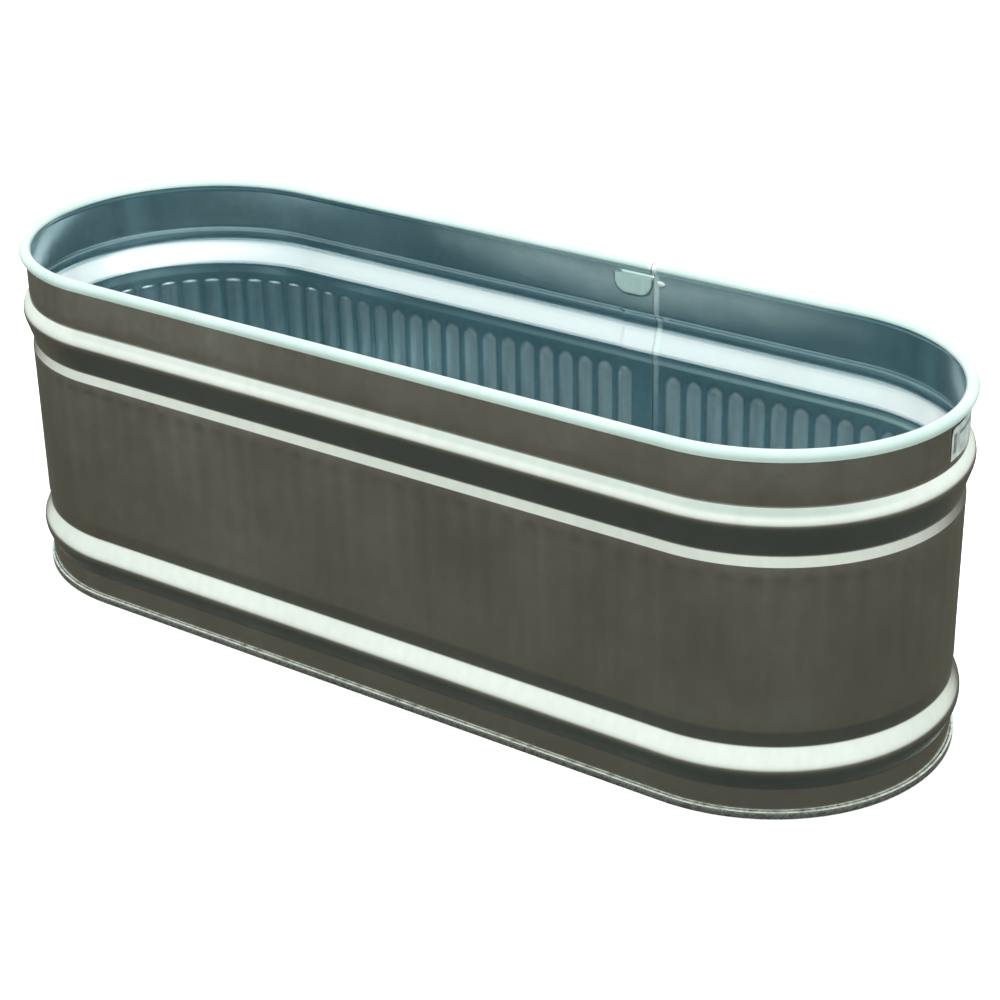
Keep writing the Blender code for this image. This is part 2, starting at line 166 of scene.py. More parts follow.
def rounded(corners, step, spacing=None):
    """Points along corners (radius, height, bend), with arcs at the bends."""
    points = []
    for index, (radius, height, bend) in enumerate(corners):
        here = Vector((radius, height))
        if bend == 0:
            points.append(here)
            continue
        back = (Vector(corners[index - 1][:2]) - here).normalized()
        ahead = (Vector(corners[(index + 1) % len(corners)][:2]) - here).normalized()
        half_angle = back.angle(ahead) / 2
        centre = here + (back + ahead).normalized() * (bend / math.sin(half_angle))
        first = here + back * (bend / math.tan(half_angle)) - centre
        turn = math.pi - 2 * half_angle
        count = max(2, math.ceil(turn / step))
        sense = 1 if back.cross(first) > 0 else -1
        for number in range(count + 1):
            spin = Matrix.Rotation(sense * turn * number / count, 2)
            points.append(centre + spin @ first)
    if spacing is None:
        return points
    filled = [points[0]]
    for here, there in zip(points, points[1:]):
        middle = (here + there) / 2
        count = max(1, math.ceil((there - here).length / spacing(middle.y)))
        for number in range(1, count + 1):
            filled.append(here.lerp(there, number / count))
    return filled


def sheet_sides(middle, thickness):
    """The inner and outer face of a bent sheet: its middle line moved each way."""
    inner = []
    outer = []
    for index, here in enumerate(middle):
        before = middle[max(index - 1, 0)]
        after = middle[min(index + 1, len(middle) - 1)]
        into = (here - before).normalized() if index > 0 else (after - here).normalized()
        out = (after - here).normalized() if index < len(middle) - 1 else into
        normal = Vector((-(into.y + out.y), into.x + out.x)).normalized()
        reach = thickness / 2 / normal.dot(Vector((-into.y, into.x)))
        inner.append(here + normal * reach)
        outer.append(here - normal * reach)
    return inner, outer


def path_at(distance):
    """(centre x, outward direction) at a distance along the strip from the lap's edge."""
    distance %= PATH_LENGTH
    first = HALF_STRAIGHT - SEAM_X
    arc = math.pi * PATH_R
    if distance < first:
        return SEAM_X + distance, Vector((0.0, 1.0))
    distance -= first
    if distance < arc:
        return HALF_STRAIGHT, polar(math.pi / 2 - distance / PATH_R)
    distance -= arc
    if distance < 2 * HALF_STRAIGHT:
        return HALF_STRAIGHT - distance, Vector((0.0, -1.0))
    distance -= 2 * HALF_STRAIGHT
    if distance < arc:
        return -HALF_STRAIGHT, polar(-math.pi / 2 - distance / PATH_R)
    return -HALF_STRAIGHT + distance - arc, Vector((0.0, 1.0))


def place(distance, radius, height):
    centre_x, outward = path_at(distance)
    return Vector((centre_x + outward.x * radius, outward.y * radius, height))


def even_marks(low, high, longest):
    count = max(1, math.ceil((high - low) / longest))
    return [low + (high - low) * number / count for number in range(count + 1)]


def ring_marks(spacing):
    """Distances for a closed ring, with finer spacing round the ends."""
    first = HALF_STRAIGHT - SEAM_X
    arc = math.pi * PATH_R
    stops = [0.0, first, first + arc, first + arc + 2 * HALF_STRAIGHT,
             first + 2 * arc + 2 * HALF_STRAIGHT, PATH_LENGTH]
    marks = []
    for number, (low, high) in enumerate(zip(stops, stops[1:])):
        longest = spacing if number % 2 else 6 * spacing
        marks += even_marks(low, high, longest)[:-1]
    return marks


def bridge(mesh, here, there):
    """Faces between two closed loops of as many vertices."""
    for index in range(len(here)):
        after = (index + 1) % len(here)
        mesh.faces.new((here[index], here[after], there[after], there[index]))


def finish_mesh(name, mesh_data, materials, sharp=40):
    """Makes an object of a bmesh that is in row-frame metres."""
    bmesh.ops.recalc_face_normals(mesh_data, faces=mesh_data.faces)
    mesh = bpy.data.meshes.new(name)
    mesh_data.to_mesh(mesh)
    mesh_data.free()
    mesh.shade_smooth()
    mesh.set_sharp_from_angle(angle=math.radians(sharp))
    for finish in materials:
        mesh.materials.append(finish)
    made = bpy.data.objects.new(name, mesh)
    bpy.context.scene.collection.objects.link(made)
    return made


# ---- wall strip ----
OUTSIDE, INSIDE, RIM = range(3)     # the wall's material slots


def wall_spacing(height):
    if FLUTE_HIGH_Z - FLUTE_END < height < FLUTE_HIGH_Z:
        return 0.0016
    if FLUTE_HIGH_Z - FLUTE_FADE < height < FLUTE_HIGH_Z:
        return 0.0055
    if FLUTE_LOW_Z < height < FLUTE_LOW_Z + FLUTE_TAPER:
        return 0.018
    if MAIN_BASE_Z < height < MAIN_TOP_Z:
        return 0.070
    return 0.016


def wall_outline():
    hook_r = FOOT_R + 2 * SEAM_PITCH
    corners = [
        (hook_r, HOOK_TOP_Z, 0),
        (hook_r, FOLD_Z, 0),
        (FOOT_R, FOLD_Z, 0),
        (FOOT_R, LAP_STEP_Z, 0),
        (FOOT_R, LAP_FOOT_Z, 0),
        (FOOT_R, PAD_FLAT_Z - 0.0005, 0),
        (FOOT_R, BAND_TOP_Z, BEND),
        (LOWER_BEAD_R, LOWER_BEAD_Z, LOWER_BEAD_BEND),
        (LOWER_NECK_R, LOWER_NECK_Z, BEND),
        (MAIN_BASE_R, MAIN_BASE_Z, BEND),
        (main_radius(FLUTE_LOW_Z), FLUTE_LOW_Z, 0),
        (main_radius(FLUTE_LOW_Z + FLUTE_TAPER), FLUTE_LOW_Z + FLUTE_TAPER, 0),
        (main_radius(FLUTE_HIGH_Z - FLUTE_FADE), FLUTE_HIGH_Z - FLUTE_FADE, 0),
        (main_radius(FLUTE_HIGH_Z - FLUTE_END), FLUTE_HIGH_Z - FLUTE_END, 0),
        (main_radius(FLUTE_HIGH_Z), FLUTE_HIGH_Z, 0),
        (MAIN_TOP_R, MAIN_TOP_Z, 0.0022),
        (UPPER_NECK_R, UPPER_NECK_Z, BEND),
        (UPPER_BEAD_R, UPPER_BEAD_Z, UPPER_BEAD_BEND),
        (CREASE_R, CREASE_Z, 0.0020),
        (CREASE_R - 0.0002, CREASE_Z + 0.0040, 0.0010),
        (UPPER_BAND_R, CREASE_Z + 0.0140, 0),
        (UPPER_BAND_R, WALL_TOP_Z, 0),
        (UPPER_BAND_R, CURL_FOOT_Z, 0),
    ]
    points = rounded(corners, math.radians(10), wall_spacing)
    curl_radius = RIM_OUTER - SHEET / 2
    for number in range(CURL_STEPS + 1):
        angle = CURL_START - CURL_TURN * number / CURL_STEPS
        points.append(Vector((RIM_R, RIM_Z)) + polar(angle, curl_radius))
    return points


def main_radius(height):
    share = (height - MAIN_BASE_Z) / (MAIN_TOP_Z - MAIN_BASE_Z)
    return MAIN_BASE_R + (MAIN_TOP_R - MAIN_BASE_R) * share


def index_at(outline, height):
    return min(range(len(outline)), key=lambda index: abs(outline[index].y - height))


def flute_marks(low, high):
    """Distances from low to high with a column at each edge of each flute."""
    shares = (-FLUTE_FOOT, -FLUTE_SLOPE, 0.0, FLUTE_SLOPE, FLUTE_FOOT, 0.5)
    marks = [low, high]
    for number in range(-2, FLUTE_GAPS + 4):
        for share in shares:
            mark = FIRST_FLUTE + (number + share) * FLUTE_PITCH
            if low + 0.0015 < mark < high - 0.0015:
                marks.append(mark)
    return sorted(marks)


def flute_rise(distance, height, x):
    """How far a flute stands in at a place on the wall: a long pill with soft edges."""
    if distance > LAST_FLUTE + FLUTE_PITCH / 2 or distance < FIRST_FLUTE - FLUTE_PITCH / 2:
        return 0.0
    nearest = round((distance - FIRST_FLUTE) / FLUTE_PITCH)
    across = distance - FIRST_FLUTE - nearest * FLUTE_PITCH
    foot = FLUTE_FOOT * FLUTE_PITCH
    crest = FLUTE_CREST * FLUTE_PITCH
    end = FLUTE_END + (FLUTE_FADE - FLUTE_END) * smooth(-0.60, -0.35, x)
    along = max(height - FLUTE_HIGH_Z + end, 0.0) * foot / end
    depth = FLUTE_DEPTH * smooth(FLUTE_LOW_Z, FLUTE_LOW_Z + FLUTE_TAPER, height)
    depth *= 0.85 + 0.15 * noise.noise(Vector((nearest * 1.7, 0.0, 0.0)))
    return depth * (1 - smooth(crest, foot, math.hypot(across, along)))


def ripple(point, size, scale):
    """A slow wave between nothing and size, always inwards."""
    wave = noise.noise(Vector((point.x, point.y, point.z * 1.6)) * scale)
    return size * (0.5 + 0.5 * min(max(wave, -1.0), 1.0))


def wall_inset(distance, height, point, flute_share):
    """Inward displacement of the wall at a place: flutes, slight waves, drain flat."""
    inset = flute_rise(distance, height, point.x) * flute_share
    inset += ripple(point, *WALL_WAVES[0]) + ripple(point, *WALL_WAVES[1])
    if distance < LAP_BEAD:
        bead = math.sin(math.pi * distance / LAP_BEAD) * smooth(0.30, 0.45, height)
        inset += bead * (0.0004 + ripple(point, *LAP_WAVE))
    if point.x < 0 and abs(point.y) < 0.05 and height < PAD_END_Z:
        centre_x, outward = path_at(distance)
        spare = FOOT_R - (FLAT_R / max(-outward.x, 0.9))
        share = smooth(PAN_TOP_Z, LAP_STEP_Z - 0.0005, height)
        share *= 1 - smooth(PAD_FLAT_Z, PAD_END_Z, height)
        inset = inset * (1 - share) + max(spare, 0.0) * share
    return inset


def build_wall(outside, inside, rim):
    """The lapped wall strip, with the finishes of its outside, inside and rim."""
    middle = wall_outline()
    inner, outer = sheet_sides(middle, SHEET)
    foot_top = index_at(middle, LAP_FOOT_Z)
    wall_top = index_at(middle, WALL_TOP_Z)
    last = len(middle) - 1

    lap_left = PATH_LENGTH - LAP_WIDTH
    joggle_end = lap_left - JOINT_GAP
    # Columns of the outer lap layer, the plain strip, the step and the inner lap layer,
    # as (distance, shift) with the rows that each has.
    tongue = [(mark, 0.0) for mark in flute_marks(-LAP_WIDTH, JOINT_GAP)]
    plain = [(mark, 0.0) for mark in flute_marks(JOINT_GAP, joggle_end - JOGGLE)][1:]
    step = [(mark, LAP_SHIFT * smooth(joggle_end - JOGGLE, joggle_end, mark))
            for mark in even_marks(joggle_end - JOGGLE, joggle_end, 0.0022)[1:]]
    under = [(mark, LAP_SHIFT) for mark in flute_marks(joggle_end, PATH_LENGTH - JOINT_GAP)][1:]
    columns = tongue + plain + step + under
    spans = [(0, wall_top)] * (len(tongue) - 1)
    spans += [(0, last)] * (len(plain) + len(step))
    spans += [(foot_top, last)] * len(under)

    mesh = bmesh.new()
    crest_layer = mesh.verts.layers.float.new("crest")
    rings = []
    for number, (distance, shift) in enumerate(columns):
        before = spans[max(number - 1, 0)]
        after = spans[min(number, len(spans) - 1)]
        positive = distance % PATH_LENGTH
        squeeze = 0.0005 * (1 - smooth(0.0, 0.020, min(distance, 1.0))) if distance > 0 else 0.0
        ring = {}
        for index in range(min(before[0], after[0]), max(before[1], after[1]) + 1):
            pair = []
            for side, flute_share in ((inner, 1.0), (outer, OUTER_SHARE)):
                radius, height = side[index]
                point = place(distance, radius, height)
                if index > wall_top + 1:
                    pull = 1 - (squeeze + ripple(point, *RIM_WAVE)) / RIM_OUTER
                    radius = RIM_R + (radius - RIM_R) * pull
                    height = RIM_Z + (height - RIM_Z) * pull
                elif height > PAN_TOP_Z:
                    radius -= wall_inset(positive, height, point, flute_share)
                if foot_top <= index <= wall_top:
                    radius -= shift
                vertex = mesh.verts.new(place(distance, radius, height))
                vertex[crest_layer] = flute_rise(positive, height, point.x) / FLUTE_DEPTH
                pair.append(vertex)
            ring[index] = pair
        rings.append(ring)

    def face(corners, slot):
        mesh.faces.new(corners).material_index = slot

    for number, (low, high) in enumerate(spans):
        here = rings[number]
        there = rings[number + 1]
        for index in range(low, high):
            exposed = INSIDE
            if index >= wall_top + RIM_START:
                exposed = RIM
            if index >= last - RIM_UNDERSIDE:
                exposed = OUTSIDE
            face((here[index][0], here[index + 1][0],
                  there[index + 1][0], there[index][0]), exposed)
            face((there[index][1], there[index + 1][1],
                  here[index + 1][1], here[index][1]), OUTSIDE)
        face((here[low][1], here[low][0], there[low][0], there[low][1]), OUTSIDE)
        face((here[high][0], here[high][1], there[high][1], there[high][0]), OUTSIDE)

    nothing = (0, 0)
    for number, ring in enumerate(rings):
        before = spans[number - 1] if number > 0 else nothing
        after = spans[number] if number < len(spans) else nothing
        for index in range(last):
            covered = [low <= index < high for low, high in (before, after)]
            if covered[0] != covered[1]:
                corners = [ring[index][0], ring[index][1],
                           ring[index + 1][1], ring[index + 1][0]]
                face(corners if covered[1] else corners[::-1], OUTSIDE)
    wall = finish_mesh("wall_sheet", mesh, (outside, inside, rim), 28)
    cut_hole(wall)
    return wall


def cut_hole(wall):
    """Cuts the drain hole through the finished wall and applies the cut."""
    cutter_mesh = bmesh.new()
    bmesh.ops.create_cone(cutter_mesh, cap_ends=True, segments=48,
                          radius1=DRAIN_HOLE, radius2=DRAIN_HOLE, depth=0.03)
    spin = Matrix.Translation(DRAIN) @ Matrix.Rotation(math.pi / 2, 4, "Y")
    bmesh.ops.transform(cutter_mesh, matrix=spin, verts=cutter_mesh.verts)
    cutter = finish_mesh("hole_cutter", cutter_mesh, ())
    cut = wall.modifiers.new("hole", "BOOLEAN")
    cut.operation = "DIFFERENCE"
    cut.object = cutter
    graph = bpy.context.evaluated_depsgraph_get()
    holed = bpy.data.meshes.new_from_object(wall.evaluated_get(graph))
    wall.modifiers.clear()
    wall.data = holed
    bpy.data.objects.remove(cutter)


# ---- closed rings ----
def build_ring(name, outline, marks, materials):
    """Sweeps a closed outline of (radius, height) points round the trough."""
    mesh = bmesh.new()
    rings = [[mesh.verts.new(place(mark, point.x, point.y)) for point in outline]
             for mark in marks]
    for here, there in zip(rings, rings[1:] + rings[:1]):
        bridge(mesh, here, there)
    return finish_mesh(name, mesh, materials)


def build_rim_core(steel):
    """The tube inside the rim curl, open at its butt joint."""
    middle = Vector((RIM_R, RIM_Z))
    marks = [mark for mark in ring_marks(RING_STEP) if 0.01 < mark < PATH_LENGTH - 0.01]
    marks = [JOINT_GAP] + marks + [PATH_LENGTH - JOINT_GAP]
    mesh = bmesh.new()
    walls = []
    for reach in (CORE_R, CORE_R * CORE_BORE):
        outline = [middle + polar(2 * math.pi * number / 24, reach) for number in range(24)]
        loops = [[mesh.verts.new(place(mark, point.x, point.y)) for point in outline]
                 for mark in marks]
        for here, there in zip(loops, loops[1:]):
            bridge(mesh, here, there)
        walls.append(loops)
    for end in (0, -1):
        bridge(mesh, walls[0][end], walls[1][end])
    return finish_mesh("rim_core", mesh, (steel,))


def build_pan(finish, hem_finish):
    """The bottom with its skirt and the double seam, and a floor that isn't quite flat."""
    chuck_r = FOOT_R - SEAM_PITCH
    outer_r = FOOT_R + 3 * SEAM_PITCH
    hook_r = FOOT_R + SEAM_PITCH
    middle = rounded([
        (chuck_r - FLOOR_EDGE, PAN_TOP_Z, 0),
        (chuck_r, PAN_TOP_Z, FLOOR_BEND),
        (chuck_r, PAN_FOOT_Z, 0.0008),
        (outer_r, PAN_FOOT_Z, 0.0008),
        (outer_r, PAN_TOP_Z, 0.0008),
        (hook_r, PAN_TOP_Z, 0.0006),
        (hook_r, HOOK_FOOT_Z, 0),
    ], math.radians(30))
    upper, lower = sheet_sides(middle, SHEET)
    marks = ring_marks(RING_STEP)
    mesh = bmesh.new()

    def floor_point(mark, radius, height):
        point = place(mark, radius, height)
        middle_share = smooth(0.0, 0.08, radius) * (1 - smooth(0.235, 0.285, radius))
        point.z -= middle_share * ripple(point, *FLOOR_WAVE)
        return mesh.verts.new(point)

    floor_radii = [0.012 + (chuck_r - 0.022) * number / (FLOOR_RINGS - 1)
                   for number in range(FLOOR_RINGS)]
    sides = []
    for side in (upper, lower):
        rings = [[floor_point(mark, radius, side[0].y) for mark in marks]
                 for radius in floor_radii]
        rings += [[mesh.verts.new(place(mark, point.x, point.y)) for mark in marks]
                  for point in side]
        sides.append(rings)
        for here, there in zip(rings, rings[1:]):
            bridge(mesh, here, there)
        mesh.faces.new(rings[0])
    bridge(mesh, sides[0][-1], sides[1][-1])
    for face in mesh.faces:
        centre = face.calc_center_median()
        reach = math.hypot(max(abs(centre.x) - HALF_STRAIGHT, 0.0), centre.y)
        face.material_index = 1 if reach > FOOT_R and face.calc_area() < 0.01 else 0
    return finish_mesh("floor_pan", mesh, (finish, hem_finish), 50)


def build_sealant(finish):
    """A hand-run fillet of sealant between the wall and the bend at the floor's edge."""
    corner_r = FOOT_R - SHEET / 2 - FIT_GAP
    leg = 0.0025
    bend_middle = Vector((FOOT_R - SEAM_PITCH - FLOOR_BEND, PAN_TOP_Z - FLOOR_BEND))
    bend_reach = FLOOR_BEND + SHEET / 2 + 0.00005
    outline = [
        Vector((corner_r, PAN_TOP_Z + leg)),
        Vector((corner_r - 0.25 * leg, PAN_TOP_Z + 0.80 * leg)),
        Vector((corner_r - 0.60 * leg, PAN_TOP_Z + 0.50 * leg)),
    ]
    for degrees in (70, 45, 25):
        outline.append(bend_middle + polar(math.radians(degrees), bend_reach))
    outline.append(Vector((corner_r, PAN_TOP_Z - leg)))
    return build_ring("corner_sealant", outline, ring_marks(RING_STEP), (finish,))


def build_label(finish):
    """A blank label wrapped on the upper band, with a slightly lifted corner."""
    low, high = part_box("label")
    first = HALF_STRAIGHT - SEAM_X
    centre = first + PATH_R * math.pi / 2
    start = centre - PATH_R * math.radians(22.5)
    mesh = bmesh.new()
    columns = even_marks(start, centre, 0.005)
    rows = even_marks(low.z, high.z, 0.006)
    faces = []
    for thickness in (0.0, 0.0003):
        grid = []
        for mark in columns:
            line = []
            for height in rows:
                share = (mark - start) / (centre - start)
                lift = 0.0012 * smooth(0.9, 1.0, share) * smooth(0.8, 1.0, (height - low.z) / 0.052)
                lift += 0.00010 * (1 + noise.noise(Vector((mark, height, 0)) * 60))
                radius = UPPER_BAND_R + SHEET / 2 + FIT_GAP + lift + thickness
                line.append(mesh.verts.new(place(mark, radius, height)))
            grid.append(line)
        faces.append(grid)
        for here, there in zip(grid, grid[1:]):
            for index in range(len(rows) - 1):
                mesh.faces.new((here[index], here[index + 1], there[index + 1], there[index]))
    back, front = faces
    border = [(0, r) for r in range(len(rows))]
    border += [(c, len(rows) - 1) for c in range(1, len(columns))]
    border += [(len(columns) - 1, r) for r in range(len(rows) - 2, -1, -1)]
    border += [(c, 0) for c in range(len(columns) - 2, 0, -1)]
    for here, there in zip(border, border[1:] + border[:1]):
        mesh.faces.new((back[here[0]][here[1]], back[there[0]][there[1]],
                        front[there[0]][there[1]], front[here[0]][here[1]]))
    return finish_mesh("wall_label", mesh, (finish,))


# ---- pieces on the lap ----
def build_tab(finish):
    """The D-shaped ear under the rim, slightly dished, with rounded edges."""
    low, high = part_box("lap_tab")
    half_width = (high.x - low.x) / 2
    centre_x = (high.x + low.x) / 2
    height = high.z - low.z
    corner = 0.024
    outline = [Vector((-half_width, 0.0))]
    for side, start in ((-1, 180), (1, 270)):
        for number in range(13):
            angle = math.radians(start + 90 * number / 12)
            outline.append(Vector((side * (half_width - corner) + corner * math.cos(angle),
                                   -height + corner + corner * math.sin(angle))))
    outline.append(Vector((half_width, 0.0)))
    middle = Vector((0.0, -0.40 * height))
    shares = (1.0, 0.97, 0.93, 0.86, 0.74, 0.5, 0.25)
    edge = (0.80, 0.30, 0.06, 0.0, 0.05, 0.12, 0.16)
    mesh = bmesh.new()

    def ring(share, depth):
        corners = []
        for point in outline:
            spot = middle + (point - middle) * share
            drop = spot.y if point.y < 0 else 0.0
            corners.append(mesh.verts.new((centre_x + spot.x, depth, high.z + drop)))
        return corners

    thickness = high.y - low.y
    front = [ring(share, low.y + thickness * rise) for share, rise in zip(shares, edge)]
    back = ring(1.0, high.y)
    for here, there in zip([back] + front, front):
        bridge(mesh, here, there)
    mesh.faces.new(front[-1])
    mesh.faces.new(back)
    return finish_mesh("lap_ear", mesh, (finish,), 60)


def build_weld(finish):
    """A lump of weld with a pointed tail, frozen as it ran."""
    low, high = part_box("rim_weld")
    centre = (low + high) / 2
    half = (high - low) / 2
    mesh = bmesh.new()
    bmesh.ops.create_icosphere(mesh, subdivisions=4, radius=1.0)
    for vertex in mesh.verts:
        direction = vertex.co.copy()
        size = 0.93 + 0.07 * noise.noise(direction * 1.7)
        flat = direction.y if direction.y < 0 else 0.5 * direction.y
        taper = 1.0 - 0.35 * smooth(-1.0, 1.0, direction.x)
        vertex.co = centre + Vector((half.x * direction.x * size,
                                     half.y * (flat * size * 1.1 + 0.25) * 0.9,
                                     half.z * direction.z * size * taper))
        vertex.co.y = min(max(vertex.co.y, low.y), high.y)
    return finish_mesh("weld_lump", mesh, (finish,), 60)


# ---- drain ----
ROUND_SIDES = 192
THREAD_PITCH = 0.001814
WASHER_R = 0.0155               # outer radius of the two rings against the wall
SPUD_BORE = 0.0101
SPUD_FLANGE = 0.0152
SPUD_TUBE = 0.0129
NUT_FLATS = 0.0300
NUT_BORE = 0.0133
PLUG_FLATS = 0.0220
PLUG_CREST = 0.0098
PLUG_ROOT = 0.0089
CORNER_TURN = 0.93              # how far a hexagon's corners are turned down


def circle(radius):
    return lambda angle: radius


def hexagon(across_flats, corner=1.0):
    """Radius of a hexagon at an angle, with its corners turned down to a share."""
    limit = across_flats / 2 / math.cos(math.pi / 6) * corner

    def radius(angle):
        from_flat = (angle + math.pi / 6) % (math.pi / 3) - math.pi / 6
        return min(across_flats / 2 / math.cos(from_flat), limit)
    return radius


def build_turned(name, sections, materials, through=True, sharp=35):
    """Lofts (depth, radius function) sections along the drain's axis, outwards along -X."""
    mesh = bmesh.new()
    rings = []
    for depth, radius in sections:
        ring = []
        for number in range(ROUND_SIDES):
            angle = 2 * math.pi * number / ROUND_SIDES
            reach = radius(angle)
            ring.append(mesh.verts.new(DRAIN + Vector((-depth, reach * math.cos(angle),
                                                       reach * math.sin(angle)))))
        rings.append(ring)
    pairs = list(zip(rings, rings[1:]))
    if through:
        pairs.append((rings[-1], rings[0]))
    for here, there in pairs:
        bridge(mesh, here, there)
    if not through:
        mesh.faces.new(rings[0])
        mesh.faces.new(rings[-1])
    return finish_mesh(name, mesh, materials, sharp)


def washer_sections(start, end, inner, outer, soft):
    """A ring of rubber with rounded edges."""
    return [
        (start, circle(inner)),
        (start, circle(outer - soft)),
        (start + soft * 0.3, circle(outer - soft * 0.3)),
        (start + soft, circle(outer)),
        (end - soft, circle(outer)),
        (end - soft * 0.3, circle(outer - soft * 0.3)),
        (end, circle(outer - soft)),
        (end, circle(inner)),
    ]


def thread_sections(start, end, crest, root):
    """Sections of a screw thread: a ridge that climbs one pitch a turn."""
    count = int((end - start) / (THREAD_PITCH / 8))
    sections = []
    for number in range(count + 1):
        depth = start + (end - start) * number / count
        fade = smooth(0, 1.5 * THREAD_PITCH, depth - start) * smooth(0, THREAD_PITCH, end - depth)

        def radius(angle, depth=depth, fade=fade):
            phase = (depth / THREAD_PITCH + angle / (2 * math.pi)) % 1.0
            ridge = 1 - abs(2 * phase - 1)
            return root + (crest - root) * (ridge * fade)
        sections.append((depth, radius))
    return sections


def build_drain(fitting, plug_metal, rubber):
    """The spud, its nut and gaskets, and the plug, at the depths the frame gives them."""
    def depths(node):
        low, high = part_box(node)
        return DRAIN.x - high.x, DRAIN.x - low.x

    def rubber_ring(node, name, inner, outer, soft):
        sections = washer_sections(*depths(node), inner, outer, soft)
        pieces[node] = build_turned(name, sections, (rubber,))

    pieces = {}
    rubber_ring("spud_inner_gasket", "inner_gasket", DRAIN_HOLE, WASHER_R, 0.0004)
    rubber_ring("spud_outer_washer", "outer_washer", DRAIN_HOLE, WASHER_R, 0.0003)

    start, end = depths("spud_lock_nut")
    chamfer = 0.0007
    pieces["spud_lock_nut"] = build_turned("lock_nut", [
        (start, circle(NUT_BORE)),
        (start, hexagon(NUT_FLATS, CORNER_TURN)),
        (start + chamfer, hexagon(NUT_FLATS)),
        (end - chamfer, hexagon(NUT_FLATS)),
        (end, hexagon(NUT_FLATS, CORNER_TURN)),
        (end, circle(0.0142)),
        (end - chamfer, circle(NUT_BORE)),
    ], (fitting,))

    start, end = depths("drain_spud")
    flange_end = start + 0.0030
    pieces["drain_spud"] = build_turned("spud", [
        (start, circle(SPUD_BORE)),
        (start, circle(SPUD_FLANGE - 0.0006)),
        (start + 0.0006, circle(SPUD_FLANGE)),
        (flange_end, circle(SPUD_FLANGE)),
        (flange_end, circle(SPUD_TUBE)),
        (end - 0.0004, circle(SPUD_TUBE)),
        (end, circle(SPUD_TUBE - 0.0004)),
        (end, circle(SPUD_BORE + 0.0004)),
        (end - 0.0004, circle(SPUD_BORE)),
    ], (fitting,))

    rubber_ring("plug_gasket", "plug_ring", SPUD_BORE, 0.0128, 0.0003)

    start, end = depths("drain_plug")
    head_start = start + 0.0120
    chamfer = 0.0006
    sections = [(start, circle(PLUG_ROOT - 0.0003))]
    sections += thread_sections(start + 0.0004, head_start - 0.0004, PLUG_CREST, PLUG_ROOT)
    sections += [
        (head_start, circle(PLUG_CREST)),
        (head_start, hexagon(PLUG_FLATS, CORNER_TURN)),
        (head_start + chamfer, hexagon(PLUG_FLATS)),
        (end - chamfer, hexagon(PLUG_FLATS)),
        (end, hexagon(PLUG_FLATS, 0.92)),
        (end, circle(0.0064)),
        (end - 0.0004, circle(0.0060)),
        (end - 0.0022, circle(0.0058)),
    ]
    pieces["drain_plug"] = build_turned("plug_body", sections, (plug_metal,), through=False)
    return pieces


# ---- materials ----
WORN_ZINC = (0.82, 0.85, 0.84)  # where an edge has been rubbed
GRIME = (0.06, 0.06, 0.05)
GRIME_TOP = 0.008               # height up to which the lowest edge is dirty

# Painted reflections, highlights and shadow on the wall's inside: colours, places, and how far the
# metal's shine drops.
# painted reflection: the paler colour of a soft spot high on the back wall's inside; its duller
# metal is a change of the material
SHEEN_TONE = (0.80, 0.92, 0.88)
SHEEN_DULLING = 0.26
CREST_HIGHLIGHT = (0.95, 1.00, 1.00)      # painted highlight on the flutes' crests
CREST_HIGHLIGHT_DULLING = 0.10
BAND_REFLECTION = (1.00, 1.00, 1.00)       # painted reflection: a pale band on the slope under the upper bead
BAND_REFLECTION_DULLING = 0.50
BAND_FOOT = (0.443, 0.450)
BAND_TOP = (0.480, 0.488)
STRIP_HIGHLIGHT = (0.85, 0.97, 0.94)      # painted highlight: a pale strip beside the lap's edge
STRIP_X = SEAM_X + 0.0100       # its middle
STRIP_HALF = (0.0030, 0.0065)   # half widths where it is full and where it ends
LINE_REFLECTION = (0.85, 1.00, 0.96)       # painted reflection: a pale line between the upper bead and the flutes
LINE_Z = 0.4300
LINE_HALF = (0.0020, 0.0060)
# painted shadow round the ear
EAR_SHADOW = (0.12, 0.17, 0.17)
EAR_SHADOW_REACH = 0.0032         # how far it spreads beside the ear


def start_material(name):
    made = bpy.data.materials.new(name)
    made.use_nodes = True
    return made, made.node_tree, made.node_tree.nodes["Principled BSDF"]


def add(tree, kind, values=None, **settings):
    """Adds a node, with its settings and its inputs as values or as other sockets."""
    node = tree.nodes.new(kind)
    for key, value in settings.items():
        setattr(node, key, value)
    for key, value in (values or {}).items():
        if isinstance(value, bpy.types.NodeSocket):
            tree.links.new(value, node.inputs[key])
        else:
            node.inputs[key].default_value = value
    return node


def math_node(tree, operation, first, second=0.5, third=0.0, clamp=False):
    node = add(tree, "ShaderNodeMath", operation=operation, use_clamp=clamp)
    for socket, value in zip(node.inputs, (first, second, third)):
        if isinstance(value, bpy.types.NodeSocket):
            tree.links.new(value, socket)
        else:
            socket.default_value = value
    return node.outputs[0]


def mix_colours(tree, share, first, second, blend="MIX"):
    node = add(tree, "ShaderNodeMix", data_type="RGBA", blend_type=blend)
    for socket, value in zip((node.inputs[0], node.inputs[6], node.inputs[7]),
                             (share, first, second)):
        if isinstance(value, bpy.types.NodeSocket):
            tree.links.new(value, socket)
        elif isinstance(value, tuple):
            socket.default_value = (*value, 1.0)
        else:
            socket.default_value = value
    return node.outputs[2]


def multiply(tree, *factors):
    product = factors[0]
    for factor in factors[1:]:
        product = math_node(tree, "MULTIPLY", product, factor)
    return product


def remap(tree, value, low, high, to_low=0.0, to_high=1.0):
    node = add(tree, "ShaderNodeMapRange", {
        "Value": value, "From Min": low, "From Max": high,
        "To Min": to_low, "To Max": to_high})
    return node.outputs[0]


def object_place(tree):
    return add(tree, "ShaderNodeTexCoord").outputs["Object"]


